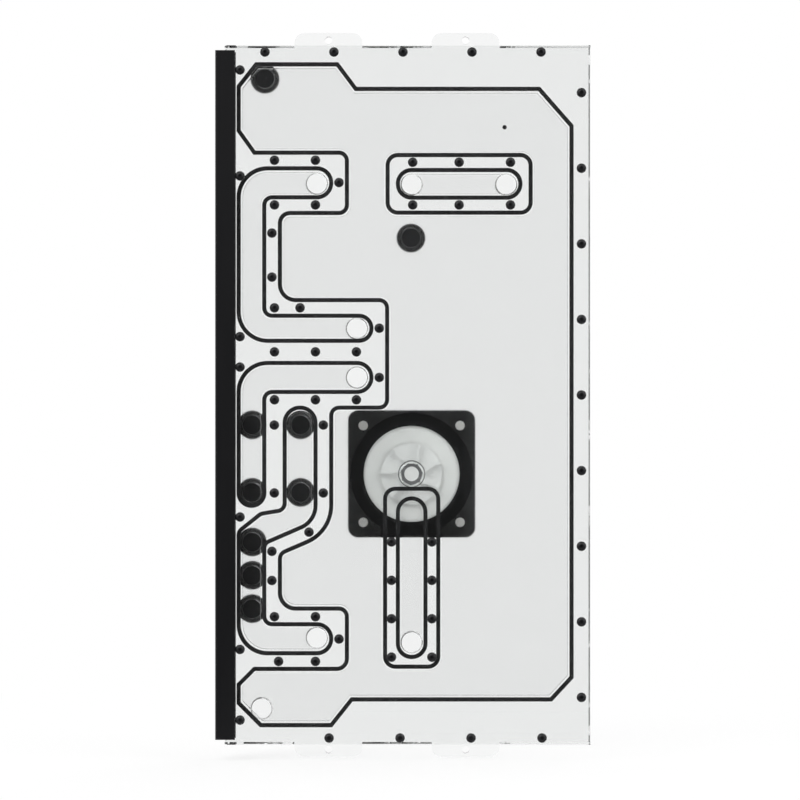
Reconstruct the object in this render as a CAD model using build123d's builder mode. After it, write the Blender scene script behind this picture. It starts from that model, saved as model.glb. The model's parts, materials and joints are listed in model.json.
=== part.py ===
"""Water cooling distribution plate: a clear milled block under a clear cover, with a pump at the rear.

Millimetres, +Z up, front towards -Y. The rear face of the block is y = 0, and the origin is the middle
of the four mounting holes. A seal line is the middle of a seal cord, which runs round each water space.
"""

import os
from math import cos, radians, sin, tan

from build123d import *

os.makedirs("parts", exist_ok=True)

# Block and cover
block_width = 214.5
block_height = 410.0
block_offset = 6.25
block_thickness = 24.0
pocket_floor = 13.0
cover_thickness = 6.0
edge_break = 0.6

# Mounting tabs
mount_spacing = 81.0
mount_reach = 4.7
mount_hole = 4.5
tab_width = 40.0
tab_reach = 9.0
tab_thickness = 8.0
tab_corner = 6.0

# Seal cords and the lands beside them
cord_width = 2.4
cord_height = 1.9
cord_side_gap = 0.1
groove_land = 1.0
land = 9.2
loop_margin = 8.1
channel_end_share = 0.495

# Border of the reservoir, from the block's edges to its seal line
border_side = 11.1
border_top = 11.0
border_step = 14.4
border_bottom = 11.3
border_rise = 15.1
top_start = 18.4
top_dip = 3.6
shoulder_inset = 30.1
shoulder_drop = 21.7
foot_start = 12.0
foot_reach = 12.0
foot_rise = 13.0
corner_cut = 13.0
upper_corner = 12.9

# Channels, as spaces between seal lines
column_width = 15.0
branch_gap = 12.0
branch_width = 18.1
finger_width = 17.0
narrow_finger = 14.7
finger_gap = 13.0
short_reach = 54.3
long_reach = 77.9
outer_bend = 17.0
inner_bend = 4.7
upper_top = 133.0
upper_turn = 46.5
middle_bottom = -65.0
branch_bend = 14.0
branch_bend_height = -64.8
branch_slope = 66.6
knee_across = 13.0
knee_lift = 4.7
knee_foot = 2.4
knee_drop = 15.0
lower_turn = -134.5

# Crossover channel
crossover_left = -5.5
crossover_bottom = 107.0
crossover_length = 83.9
crossover_side = 8.8
crossover_end = 6.0
outer_corner = 6.0

# Pump
pump_across = 8.6
pump_height = -46.5
volute_radius = 27.85
volute_depth = 7.0
inlet_radius = 6.2
outlet_radius = 5.0
outlet_drop = 22.3
outlet_side = 7.5
outlet_end = 5.7
outlet_length = 93.0
outlet_room = 0.8
inlet_break = 1.2
can_wall = 1.5
can_radius = 30.2
can_corner = 6.0
well_radius = 17.0
well_depth = 14.0
flange_side = 75.0
flange_corner = 6.0
flange_thickness = 8.0
collar_radius = 30.0
collar_depth = 3.0
motor_radius = 26.8
motor_length = 38.0
motor_break = 2.0
rib_count = 3
rib_depth = 1.2
rib_width = 2.4
cap_radius = 23.0
cap_thickness = 3.0
gland_radius = 4.0
gland_length = 7.0
gland_bore = 2.2
seal_band = 1.9
pump_bolt_spacing = 57.0
pump_bolt = 4.0
pump_bolt_head = 7.0
pump_bolt_head_height = 4.0
pump_bolt_depth = 7.0
insert_radius = 3.0
insert_length = 8.0

# Rotor
impeller_radius = 18.0
impeller_disc = 1.6
impeller_lift = 1.1
blade_height = 4.2
blade_count = 7
blade_width = 1.4
blade_inner = 7.5
blade_sweep = 6.0
blade_arc = 14.0
magnet_radius = 15.5
magnet_length = 10.6
bush_radius = 4.0
bush_length = 9.6
post_radius = 2.0
thrust_gap = 0.3

# Ports and plugs
port_radius = 5.9
rim_slope = 45
port_break = 0.6
plug_radius = 8.5
plug_height = 3.6
plug_sides = 12
plug_thread = 8.0
plug_socket = 3.4
plug_socket_depth = 2.6
washer_thickness = 1.0
washer_width = 2.0
fill_inset = 23.1
fill_drop = 18.6
side_port_across = 8.2
side_port_rise = 92.6
drain_inset = 21.3
drain_rise = 20.4
channel_ports = (-17.6, -57.4)
lower_ports = (-86.7, -106.3, -126.0)
finger_port = 8.6
vent_across = 63.3
vent_rise = 157.6
vent_radius = 1.4
vent_length = 8.0
vent_socket = 0.8
vent_socket_depth = 1.5

# Cover screws
screw_radius = 1.5
screw_head = 2.85
screw_head_height = 1.65
screw_length = 12.0
screw_clearance = 0.1
screw_sides = 6
head_sides = 8
screw_inset = 4.0
side_inset = 5.4
side_end = 27.8
side_count = 9
top_left_inset = 23.6
top_right_inset = 29.1
top_count = 5
bottom_left_inset = 61.2
bottom_right_inset = 28.5
bottom_count = 4
first_screw_reach = 21.1
screw_column_pitch = 24.0
turn_screw_reach = 15.0
column_screw_rises = (22.6, 48.4)
crossover_screw_reaches = (14.7, 41.9, 72.0)
outlet_screw_start = 25.4
outlet_screw_pitch = 22.5
outlet_screw_count = 4
edge_screw_step = 0.9
edge_screw_drop = 14.5
knee_screw_drop = 6.5
screw_shift = 2.4

# Light bar on the left edge
bar_gap = 4.0
bar_wall = 1.5
bar_reach = 11.5
bar_short = 3.0
strip_width = 10.0
strip_thickness = 1.2
strip_short = 7.0
led_side = 5.0
led_height = 1.6
led_count = 24
header_length = 8.0
header_height = 2.2
bar_screw = 1.25
bar_screw_head = 2.3
bar_screw_head_height = 1.2
bar_screw_depth = 6.0
bar_screw_count = 4
bar_screw_inset = 2.8

# Running and slip fits
slip = 0.1
running = 0.05

# Places worked out from the sizes
block_left = block_offset - block_width / 2
block_right = block_offset + block_width / 2
block_top = block_height / 2
block_bottom = -block_height / 2
mount_height = block_top + mount_reach
pocket_depth = block_thickness - pocket_floor
groove_width = cord_width + 2 * cord_side_gap
pocket_inset = groove_width / 2 + groove_land
half_land = land / 2

loop_left = block_left + loop_margin
column_right = loop_left + column_width
column_middle = loop_left + column_width / 2
branch_left = column_right + branch_gap
branch_right = branch_left + branch_width
branch_middle = branch_left + branch_width / 2
short_finger = loop_left + short_reach
long_finger = loop_left + long_reach
upper_finger = upper_top - finger_width
upper_bottom = upper_turn - narrow_finger
middle_top = upper_bottom - finger_gap
middle_finger = middle_top - finger_width
branch_top = middle_finger - land
lower_bottom = lower_turn - finger_width

outlet_height = pump_height - outlet_drop
outlet_half = outlet_radius + pocket_inset + outlet_room
step_depth = can_wall + cord_side_gap + cord_width / 2


def save(piece, name):
    """Labels a finished piece and writes it to a file of its own."""
    piece.part.label = name
    export_step(piece.part, f"parts/{name}.step")


def rounded(width):
    """Radius that makes the end of a channel fully round, with a hair of flat between its two arcs."""
    return channel_end_share * width


def filled(corners):
    """Face inside a rounded outline, whose corners are (across, up, corner radius)."""
    with BuildSketch() as area:
        with BuildLine():
            radii = [corner[2] for corner in corners]
            FilletPolyline([corner[:2] for corner in corners], radius=radii, close=True)
        make_face()
    return area.sketch


def grown(area, amount):
    """The same outline, moved outwards all round, or inwards for a negative amount."""
    return offset(area, amount, kind=Kind.INTERSECTION)


def band(area, width):
    """The strip of a given width that runs along an outline."""
    return grown(area, width / 2) - grown(area, -width / 2)


def spaced(start, end, count):
    """Evenly spaced places from a start to an end, both included."""
    return [start + (end - start) * step / (count - 1) for step in range(count)]


# Seal lines of the channels, each a closed outline
upper_line = filled([
    (loop_left, upper_top, outer_bend),
    (short_finger, upper_top, rounded(finger_width)),
    (short_finger, upper_finger, rounded(finger_width)),
    (column_right, upper_finger, inner_bend),
    (column_right, upper_turn, inner_bend),
    (long_finger, upper_turn, rounded(narrow_finger)),
    (long_finger, upper_bottom, rounded(narrow_finger)),
    (loop_left, upper_bottom, outer_bend),
])

middle_line = filled([
    (loop_left, middle_top, outer_bend),
    (long_finger, middle_top, rounded(finger_width)),
    (long_finger, middle_finger, rounded(finger_width)),
    (column_right, middle_finger, inner_bend),
    (column_right, middle_bottom, rounded(column_width)),
    (loop_left, middle_bottom, rounded(column_width)),
])

# The branch bends into the lower column along a slope, and the reservoir follows it at one land's distance.
slope_drop = tan(radians(90 - branch_slope))
bend_reach = tan(radians(branch_slope / 2))
reservoir_bend = branch_bend + land
reservoir_knee = branch_right + land


def bend_corner(bend):
    """Height of the corner that a bend of this radius rounds off."""
    return branch_bend_height - bend * bend_reach


lower_shoulder = bend_corner(branch_bend) - (branch_right - column_right) * slope_drop
reservoir_shoulder = bend_corner(reservoir_bend) - (branch_right - column_right) * slope_drop

lower_line = filled([
    (branch_left, branch_top, rounded(branch_width)),
    (branch_right, branch_top, rounded(branch_width)),
    (branch_right, bend_corner(branch_bend), branch_bend),
    (column_right, lower_shoulder, inner_bend),
    (column_right, lower_turn, inner_bend),
    (short_finger, lower_turn, rounded(finger_width)),
    (short_finger, lower_bottom, rounded(finger_width)),
    (loop_left, lower_bottom, outer_bend),
    (loop_left, middle_bottom - knee_drop, inner_bend),
    (loop_left + knee_across, middle_bottom - knee_lift, inner_bend),
    (branch_left, middle_bottom - knee_foot, inner_bend),
])

seal_top = block_top - border_top
shoulder_top = seal_top - border_step
seal_right = block_right - border_side
seal_bottom = block_bottom + border_bottom
foot_top = seal_bottom + border_rise
reservoir_line = filled([
    (block_left + top_start, seal_top, 0),
    (short_finger + top_dip, seal_top, 0),
    (short_finger + border_step, shoulder_top, 0),
    (block_right - shoulder_inset, shoulder_top, 0),
    (seal_right, shoulder_top - shoulder_drop, 0),
    (seal_right, foot_top + foot_rise, 0),
    (seal_right - foot_reach, foot_top, 0),
    (short_finger + foot_start, foot_top, 0),
    (short_finger, seal_bottom, 0),
    (loop_left + corner_cut, seal_bottom, 0),
    (loop_left, seal_bottom + corner_cut, 0),
    (loop_left, lower_bottom - land * 2, 0),
    (loop_left + land, lower_bottom - land, 0),
    (short_finger + land, lower_bottom - land, outer_corner),
    (short_finger + land, lower_turn + land, inner_bend),
    (column_right + land, lower_turn + land, land),
    (column_right + land, reservoir_shoulder, inner_bend),
    (reservoir_knee, bend_corner(reservoir_bend), reservoir_bend),
    (reservoir_knee, branch_top, inner_bend),
    (long_finger + land, branch_top, inner_bend),
    (long_finger + land, upper_turn + land, inner_bend),
    (column_right + land, upper_turn + land, land),
    (column_right + land, upper_finger - land, outer_corner),
    (short_finger + land, upper_finger - land, inner_bend),
    (short_finger + land, upper_top + land, inner_bend),
    (loop_left + land, upper_top + land, 0),
    (loop_left, upper_top + land + upper_corner, 0),
    (loop_left, seal_top - corner_cut, 0),
])


def box_line(left, right, bottom, top, corner):
    """A rounded rectangle between two places across and two heights."""
    corners = ((left, top), (right, top), (right, bottom), (left, bottom))
    return filled([(across, height, corner) for across, height in corners])


crossover_top = crossover_bottom + 2 * crossover_side + 2 * outlet_half
crossover_right = crossover_left + crossover_length
crossover_outer = box_line(crossover_left, crossover_right, crossover_bottom, crossover_top, outer_corner)
crossover_inner = box_line(
    crossover_left + crossover_end,
    crossover_right - crossover_end,
    crossover_bottom + crossover_side,
    crossover_top - crossover_side,
    rounded(2 * outlet_half),
)

outlet_top = outlet_height + outlet_half
outlet_bottom = outlet_top - outlet_length
outlet_outer = box_line(
    pump_across - outlet_half - outlet_side,
    pump_across + outlet_half + outlet_side,
    outlet_bottom - outlet_end,
    outlet_top + outlet_end,
    outer_corner,
)
outlet_inner = box_line(
    pump_across - outlet_half,
    pump_across + outlet_half,
    outlet_bottom,
    outlet_top,
    rounded(2 * outlet_half),
)

seal_lines = {
    "reservoir_seal": reservoir_line,
    "upper_channel_seal": upper_line,
    "middle_channel_seal": middle_line,
    "lower_channel_seal": lower_line,
    "crossover_outer_seal": crossover_outer,
    "crossover_inner_seal": crossover_inner,
    "outlet_outer_seal": outlet_outer,
    "outlet_inner_seal": outlet_inner,
}
water_lines = (upper_line, middle_line, lower_line, crossover_inner, outlet_inner)
channels = [grown(line, -pocket_inset) for line in water_lines]
reservoir = grown(reservoir_line, -pocket_inset)
islands = [grown(line, pocket_inset) for line in (crossover_outer, outlet_outer)]
grooves = [band(line, groove_width) for line in seal_lines.values()]
cords = {name: band(line, cord_width) for name, line in seal_lines.items()}

# Places of the ports
fill_port = (block_left + fill_inset, block_top - fill_drop)
side_port = (side_port_across, side_port_rise)
plugged_ports = [fill_port, side_port]
plugged_ports += [(across, height) for height in channel_ports for across in (column_middle, branch_middle)]
plugged_ports += [(column_middle, height) for height in lower_ports]
open_ports = [
    (block_left + drain_inset, block_bottom + drain_rise),
    (short_finger - finger_port, upper_top - finger_width / 2),
    (long_finger - finger_port, upper_turn - narrow_finger / 2),
    (long_finger - finger_port, middle_top - finger_width / 2),
    (short_finger - finger_port, lower_turn - finger_width / 2),
    (crossover_left + crossover_end + outlet_half, crossover_bottom + crossover_side + outlet_half),
    (crossover_right - crossover_end - outlet_half, crossover_bottom + crossover_side + outlet_half),
    (pump_across, outlet_bottom + outlet_half),
]
vent_place = (vent_across, vent_rise)

# Places of the cover screws, in the border and on the lands between the seal lines
first_column = loop_left + first_screw_reach
second_column = first_column + screw_column_pitch
third_column = second_column + screw_column_pitch
land_screws = [(across, upper_top + half_land) for across in (first_column, second_column)]
land_screws += [(short_finger + half_land, upper_top - finger_width / 2)]
land_screws += [(across, upper_finger - half_land) for across in (first_column, second_column)]
land_screws += [(column_right + half_land, upper_turn + rise) for rise in column_screw_rises]
land_screws += [(first_column, upper_turn + half_land)]
land_screws += [(first_column + turn_screw_reach, upper_turn + half_land)]
land_screws += [(long_finger + half_land, upper_turn - narrow_finger / 2)]
screw_columns = (first_column, second_column, third_column)
land_screws += [(across, middle_top + finger_gap / 2) for across in screw_columns]
land_screws += [(long_finger + half_land, middle_top - finger_width / 2)]
land_screws += [(across, middle_finger - half_land) for across in screw_columns]
land_screws += [(column_right + branch_gap / 2, height) for height in channel_ports]
land_screws += [(branch_right + half_land, height) for height in channel_ports]
land_screws += [
    (
        branch_right - branch_bend + (branch_bend + half_land) * sin(radians(branch_slope / 2)),
        branch_bend_height - (branch_bend + half_land) * cos(radians(branch_slope / 2)),
    ),
    (column_right + half_land, lower_shoulder - half_land),
    (column_right + half_land, lower_ports[1] - screw_shift),
    (first_column, lower_turn + half_land),
    (second_column, lower_turn + half_land),
    (short_finger + half_land, lower_turn - finger_width / 2),
    (first_column + screw_shift, lower_bottom - half_land),
    (second_column, lower_bottom - half_land),
]
edge_screws = [
    (loop_left + edge_screw_step, height)
    for height in (
        block_top - edge_screw_drop,
        upper_top - half_land,
        upper_bottom + screw_shift,
        middle_top - screw_shift,
        middle_bottom - knee_screw_drop,
        lower_bottom + screw_shift,
        block_bottom + edge_screw_drop,
    )
]
crossover_screws = [
    (crossover_left + reach, height)
    for reach in crossover_screw_reaches
    for height in (crossover_top - crossover_side / 2, crossover_bottom + crossover_side / 2)
]
outlet_screws = [
    (
        pump_across + side * (outlet_half + outlet_side / 2),
        outlet_top - outlet_screw_start - outlet_screw_pitch * step,
    )
    for side in (-1, 1)
    for step in range(outlet_screw_count)
]
border_screws = [
    (across, block_top - screw_inset)
    for across in spaced(block_left + top_left_inset, block_right - top_right_inset, top_count)
]
border_screws += [
    (across, block_bottom + screw_inset)
    for across in spaced(block_left + bottom_left_inset, block_right - bottom_right_inset, bottom_count)
]
border_screws += [
    (block_right - side_inset, height)
    for height in spaced(block_bottom + side_end, block_top - side_end, side_count)
]
screw_places = border_screws + edge_screws + land_screws + crossover_screws + outlet_screws

mount_places = [(mount_spacing / 2 * side, mount_height * end) for side in (-1, 1) for end in (-1, 1)]
pump_place = (pump_across, pump_height)
bolt_places = [
    (pump_across + pump_bolt_spacing / 2 * side, pump_height + pump_bolt_spacing / 2 * end)
    for side in (-1, 1)
    for end in (-1, 1)
]
bar_left = block_left - bar_gap - bar_wall
bar_height = block_height - 2 * bar_short
bar_places = [
    (block_left + bar_screw_inset, bar_height / bar_screw_count * (step - (bar_screw_count - 1) / 2))
    for step in range(bar_screw_count)
]
front = block_thickness + cover_thickness


# Block with the reservoir, the channels and the tabs

with BuildPart() as main_body:
    with BuildSketch(Plane.XZ):
        with Locations((block_offset, 0)):
            Rectangle(block_width, block_height)
    extrude(amount=block_thickness)
    chamfer(main_body.edges().group_by(Axis.Y)[-1], edge_break)
    with BuildSketch(Plane.XZ):
        with Locations((-mount_spacing / 2, 0), (mount_spacing / 2, 0)):
            RectangleRounded(tab_width, block_height + 2 * tab_reach, tab_corner)
        with Locations((block_offset, 0)):
            Rectangle(block_width, block_height - 2 * tab_reach, mode=Mode.SUBTRACT)
    extrude(amount=tab_thickness)
    with BuildSketch(Plane.XZ):
        with Locations(*mount_places):
            Circle(mount_hole / 2)
    extrude(amount=tab_thickness, mode=Mode.SUBTRACT)
    with BuildSketch(Plane.XZ.offset(pocket_floor)):
        add(reservoir)
        add(islands, mode=Mode.SUBTRACT)
        add(channels)
    extrude(amount=pocket_depth, mode=Mode.SUBTRACT)
    with BuildSketch(Plane.XZ.offset(block_thickness)):
        add(grooves)
    extrude(amount=-cord_height, mode=Mode.SUBTRACT)
    with BuildSketch(Plane.XZ.offset(block_thickness)):
        with Locations(*screw_places):
            RegularPolygon(screw_radius + screw_clearance, screw_sides)
    extrude(amount=-(screw_length - cover_thickness + 1), mode=Mode.SUBTRACT)
    with BuildSketch(Plane.XZ):
        with Locations(*plugged_ports, *open_ports):
            Circle(port_radius)
    extrude(amount=pocket_floor, mode=Mode.SUBTRACT)
    for port in (*plugged_ports, *open_ports):
        rim = Plane(origin=(port[0], 0, port[1]), x_dir=(1, 0, 0), z_dir=(0, -1, 0))
        with BuildSketch(rim):
            Circle(port_radius + port_break)
        extrude(amount=port_break, taper=rim_slope, mode=Mode.SUBTRACT)
    with BuildSketch(Plane.XZ):
        with Locations(vent_place):
            RegularPolygon(vent_radius, head_sides)
    extrude(amount=pocket_floor, mode=Mode.SUBTRACT)
    with BuildSketch(Plane.XZ):
        with Locations(pump_place):
            Circle(can_radius + slip)
    extrude(amount=step_depth, mode=Mode.SUBTRACT)
    with BuildSketch(Plane.XZ):
        with Locations(pump_place):
            Circle(volute_radius)
    extrude(amount=step_depth + volute_depth, mode=Mode.SUBTRACT)
    with BuildSketch(Plane.XZ):
        with Locations(pump_place):
            Circle(inlet_radius)
        with Locations((pump_across, outlet_height)):
            Circle(outlet_radius)
    extrude(amount=pocket_floor, mode=Mode.SUBTRACT)
    inlet_rim = Plane(origin=(pump_across, -pocket_floor, pump_height), x_dir=(1, 0, 0), z_dir=(0, 1, 0))
    with BuildSketch(inlet_rim):
        Circle(inlet_radius + inlet_break)
    extrude(amount=inlet_break, taper=rim_slope, mode=Mode.SUBTRACT)
    with BuildSketch(Plane.XZ):
        with Locations(*bolt_places):
            RegularPolygon(insert_radius, head_sides)
    extrude(amount=insert_length + edge_break, mode=Mode.SUBTRACT)
    with BuildSketch(Plane.XZ):
        with Locations(*bar_places):
            RegularPolygon(bar_screw + slip, screw_sides)
    extrude(amount=bar_screw_depth + edge_break, mode=Mode.SUBTRACT)
save(main_body, "main_body")

# Cover plate

with BuildPart() as front_cover:
    with BuildSketch(Plane.XZ.offset(block_thickness)):
        with Locations((block_offset, 0)):
            Rectangle(block_width, block_height)
    extrude(amount=cover_thickness)
    chamfer(front_cover.edges().group_by(Axis.Y)[0], edge_break)
    with BuildSketch(Plane.XZ.offset(block_thickness)):
        with Locations(*screw_places):
            RegularPolygon(screw_radius + 2 * screw_clearance, screw_sides)
    extrude(amount=cover_thickness, mode=Mode.SUBTRACT)
save(front_cover, "front_cover")


# Seal cords, pressed flat in their grooves

for name, cord in cords.items():
    with BuildPart() as seal:
        with BuildSketch(Plane.XZ.offset(block_thickness)):
            add(cord)
        extrude(amount=-cord_height)
    save(seal, name)


# Cover screws

with BuildPart() as cover_screws:
    with BuildSketch(Plane.XZ.offset(front)):
        with Locations(*screw_places):
            RegularPolygon(screw_head, head_sides)
    extrude(amount=screw_head_height)
    with BuildSketch(Plane.XZ.offset(front)):
        with Locations(*screw_places):
            RegularPolygon(screw_radius, screw_sides)
    extrude(amount=-screw_length)
save(cover_screws, "cover_screws")


# Plugs and their sealing rings, in the ports that are closed

with BuildPart() as plug_seals:
    with BuildSketch(Plane.XZ):
        with Locations(*plugged_ports):
            RegularPolygon(plug_radius - slip, plug_sides)
            RegularPolygon(plug_radius - washer_width, plug_sides, mode=Mode.SUBTRACT)
    extrude(amount=-washer_thickness)
save(plug_seals, "plug_seals")

with BuildPart() as port_plugs:
    with BuildSketch(Plane.XZ.offset(-washer_thickness)):
        with Locations(*plugged_ports):
            RegularPolygon(plug_radius, plug_sides)
    extrude(amount=-plug_height)
    with BuildSketch(Plane.XZ.offset(-washer_thickness)):
        with Locations(*plugged_ports):
            RegularPolygon(port_radius - running, plug_sides)
    extrude(amount=washer_thickness + plug_thread)
    with BuildSketch(Plane.XZ.offset(-washer_thickness - plug_height)):
        with Locations(*plugged_ports):
            RegularPolygon(plug_socket, screw_sides)
    extrude(amount=plug_socket_depth, mode=Mode.SUBTRACT)
save(port_plugs, "port_plugs")

# Vent screw, which closes the small hole at the top of the reservoir

with BuildPart() as vent_screw:
    with BuildSketch(Plane.XZ):
        with Locations(vent_place):
            RegularPolygon(vent_radius - running, head_sides)
    extrude(amount=vent_length)
    with BuildSketch(Plane.XZ):
        with Locations(vent_place):
            RegularPolygon(vent_socket, screw_sides)
    extrude(amount=vent_socket_depth, mode=Mode.SUBTRACT)
save(vent_screw, "vent_screw")


# Light bar: a channel section over the left edge, with a strip of lights inside

with BuildPart() as light_bar:
    with BuildSketch(Plane.XY.offset(-bar_height / 2)):
        with Locations((bar_left, bar_wall)):
            Rectangle(bar_reach, front + 2 * bar_wall, align=(Align.MIN, Align.MAX))
        with Locations((bar_left + bar_wall, 0)):
            Rectangle(bar_reach, front, align=(Align.MIN, Align.MAX), mode=Mode.SUBTRACT)
    extrude(amount=bar_height)
    chamfer(light_bar.edges().filter_by(Axis.Z).group_by(Axis.X)[0], bar_wall / 2)
    with BuildSketch(Plane.XZ.offset(-bar_wall)):
        with Locations(*bar_places):
            RegularPolygon(bar_screw + slip, screw_sides)
    extrude(amount=bar_wall, mode=Mode.SUBTRACT)
save(light_bar, "light_bar")

with BuildPart() as light_bar_screws:
    with BuildSketch(Plane.XZ.offset(-bar_wall)):
        with Locations(*bar_places):
            RegularPolygon(bar_screw_head, head_sides)
    extrude(amount=-bar_screw_head_height)
    with BuildSketch(Plane.XZ.offset(-bar_wall)):
        with Locations(*bar_places):
            RegularPolygon(bar_screw, screw_sides)
    extrude(amount=bar_wall + bar_screw_depth)
save(light_bar_screws, "light_bar_screws")

strip_height = bar_height - 2 * strip_short
strip_plane = Plane(origin=(bar_left + bar_wall, -front / 2, 0), x_dir=(0, 1, 0), z_dir=(1, 0, 0))

with BuildPart() as light_strip_board:
    with BuildSketch(strip_plane):
        Rectangle(strip_width, strip_height)
    extrude(amount=strip_thickness)
save(light_strip_board, "light_strip_board")

led_pitch = (strip_height - 2 * header_length) / led_count
with BuildPart() as light_strip_leds:
    with BuildSketch(strip_plane.offset(strip_thickness)):
        with GridLocations(0, led_pitch, 1, led_count):
            Rectangle(led_side, led_side)
    extrude(amount=led_height)
save(light_strip_leds, "light_strip_leds")

with BuildPart() as light_strip_header:
    with BuildSketch(strip_plane.offset(strip_thickness)):
        with Locations((0, -strip_height / 2)):
            Rectangle(strip_width, header_length, align=(Align.CENTER, Align.MIN))
    extrude(amount=header_height)
    with BuildSketch(strip_plane.offset(strip_thickness + header_height / 2)):
        with Locations((0, -strip_height / 2)):
            Rectangle(
                strip_width - header_height,
                header_length - header_height,
                align=(Align.CENTER, Align.MIN),
            )
    extrude(amount=header_height / 2, mode=Mode.SUBTRACT)
save(light_strip_header, "light_strip_header")


# Pump: flange, motor housing, end cap, gland and fixings at the rear

with BuildPart() as pump_flange:
    with BuildSketch(Plane.XZ):
        with Locations(pump_place):
            RectangleRounded(flange_side, flange_side, flange_corner)
            Circle(motor_radius + slip, mode=Mode.SUBTRACT)
        with Locations(*bolt_places):
            RegularPolygon(pump_bolt / 2 + 2 * slip, screw_sides, mode=Mode.SUBTRACT)
    extrude(amount=-flange_thickness)
    chamfer(pump_flange.edges().group_by(Axis.Y)[-1].filter_by(GeomType.LINE), edge_break)
    with BuildSketch(Plane.XZ):
        with Locations(pump_place):
            Circle(collar_radius + slip)
    extrude(amount=-collar_depth, mode=Mode.SUBTRACT)
save(pump_flange, "pump_flange")

with BuildPart() as pump_inserts:
    with BuildSketch(Plane.XZ):
        with Locations(*bolt_places):
            RegularPolygon(insert_radius - running, head_sides)
            RegularPolygon(pump_bolt / 2 + slip, screw_sides, mode=Mode.SUBTRACT)
    extrude(amount=insert_length)
save(pump_inserts, "pump_inserts")

with BuildPart() as pump_screws:
    with BuildSketch(Plane.XZ.offset(-flange_thickness)):
        with Locations(*bolt_places):
            RegularPolygon(pump_bolt_head / 2, plug_sides)
    extrude(amount=-pump_bolt_head_height)
    with BuildSketch(Plane.XZ.offset(-flange_thickness)):
        with Locations(*bolt_places):
            RegularPolygon(pump_bolt / 2, screw_sides)
    extrude(amount=flange_thickness + pump_bolt_depth)
    with BuildSketch(Plane.XZ.offset(-flange_thickness - pump_bolt_head_height)):
        with Locations(*bolt_places):
            RegularPolygon(pump_bolt / 2, screw_sides)
    extrude(amount=pump_bolt_head_height / 2, mode=Mode.SUBTRACT)
save(pump_screws, "pump_screws")

well_outer = well_radius + can_wall
with BuildPart() as pump_housing:
    with BuildSketch(Plane.XZ):
        with Locations(pump_place):
            Circle(collar_radius)
    extrude(amount=-collar_depth)
    with BuildSketch(Plane.XZ):
        with Locations(pump_place):
            Circle(motor_radius)
    extrude(amount=-motor_length)
    chamfer(pump_housing.edges().group_by(Axis.Y)[-1], motor_break)
    for step in range(rib_count):
        with BuildSketch(Plane.XZ.offset(-flange_thickness - rib_width * 2 * (step + 1))):
            with Locations(pump_place):
                Circle(motor_radius)
                Circle(motor_radius - rib_depth, mode=Mode.SUBTRACT)
        extrude(amount=-rib_width, mode=Mode.SUBTRACT)
    with BuildSketch(Plane.XZ.offset(-motor_length)):
        with Locations(pump_place):
            Circle(cap_radius + slip)
    extrude(amount=cap_thickness / 2, mode=Mode.SUBTRACT)
    with BuildSketch(Plane.XZ):
        with Locations(pump_place):
            Circle(well_outer + slip)
    extrude(amount=-(well_depth + can_wall), mode=Mode.SUBTRACT)
    gland_plane = Plane(
        origin=(pump_across, motor_length - 2 * gland_radius, pump_height - motor_radius + 2 * rib_depth),
        x_dir=(1, 0, 0),
        z_dir=(0, 0, -1),
    )
    with BuildSketch(gland_plane):
        Circle(gland_radius - slip)
    extrude(amount=gland_length, mode=Mode.SUBTRACT)
save(pump_housing, "pump_housing")

with BuildPart() as pump_end_cap:
    with BuildSketch(Plane.XZ.offset(-motor_length + cap_thickness / 2)):
        with Locations(pump_place):
            Circle(cap_radius)
    extrude(amount=-cap_thickness)
    chamfer(pump_end_cap.edges().group_by(Axis.Y)[-1], edge_break)
save(pump_end_cap, "pump_end_cap")

with BuildPart() as cable_gland:
    with BuildSketch(gland_plane):
        Circle(gland_radius - 2 * slip)
        Circle(gland_bore, mode=Mode.SUBTRACT)
    extrude(amount=gland_length)
save(cable_gland, "cable_gland")


# Pump: wetted can, seal and the post of the rotor

disc_back = can_wall + impeller_lift
bush_back = bush_length - disc_back
axis_plane = Plane(origin=(pump_across, 0, pump_height), x_dir=(1, 0, 0), z_dir=(0, 0, 1))
pump_axis = Axis((pump_across, 0, pump_height), (0, 1, 0))

with BuildPart() as rotor_can:
    with BuildSketch(axis_plane):
        with BuildLine():
            Polyline(
                (0, well_depth + can_wall),
                (well_outer - can_corner, well_depth + can_wall),
                (well_outer, well_depth + can_wall - can_corner),
                (well_outer, 0),
                (can_radius, 0),
                (can_radius, -can_wall),
                (well_radius, -can_wall),
                (well_radius, well_depth - can_corner),
                (well_radius - can_corner, well_depth),
                (0, well_depth),
                close=True,
            )
        make_face()
    revolve(axis=pump_axis)
save(rotor_can, "rotor_can")

with BuildPart() as pump_seal:
    with BuildSketch(Plane.XZ.offset(can_wall)):
        with Locations(pump_place):
            Circle(can_radius)
            Circle(can_radius - seal_band, mode=Mode.SUBTRACT)
    extrude(amount=step_depth - can_wall)
save(pump_seal, "pump_seal")

with BuildPart() as bearing_post:
    with BuildSketch(Plane.XZ.offset(-well_depth)):
        with Locations(pump_place):
            Circle(post_radius)
    extrude(amount=well_depth + disc_back - slip)
    with BuildSketch(Plane.XZ.offset(-well_depth)):
        with Locations(pump_place):
            Circle(bush_radius - slip)
    extrude(amount=well_depth - bush_back - thrust_gap)
save(bearing_post, "bearing_post")


# Pump: the rotor, which spins on the post

with BuildSketch() as blade_area:
    with BuildLine():
        tip = (impeller_radius - edge_break, blade_sweep)
        back_tip = (impeller_radius - 2 * edge_break, blade_sweep + blade_width)
        leading = RadiusArc((blade_inner, 0), tip, blade_arc)
        trailing = RadiusArc((blade_inner, blade_width), back_tip, blade_arc)
        Line(leading @ 0, trailing @ 0)
        Line(leading @ 1, trailing @ 1)
    make_face()
blade = blade_area.sketch

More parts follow.
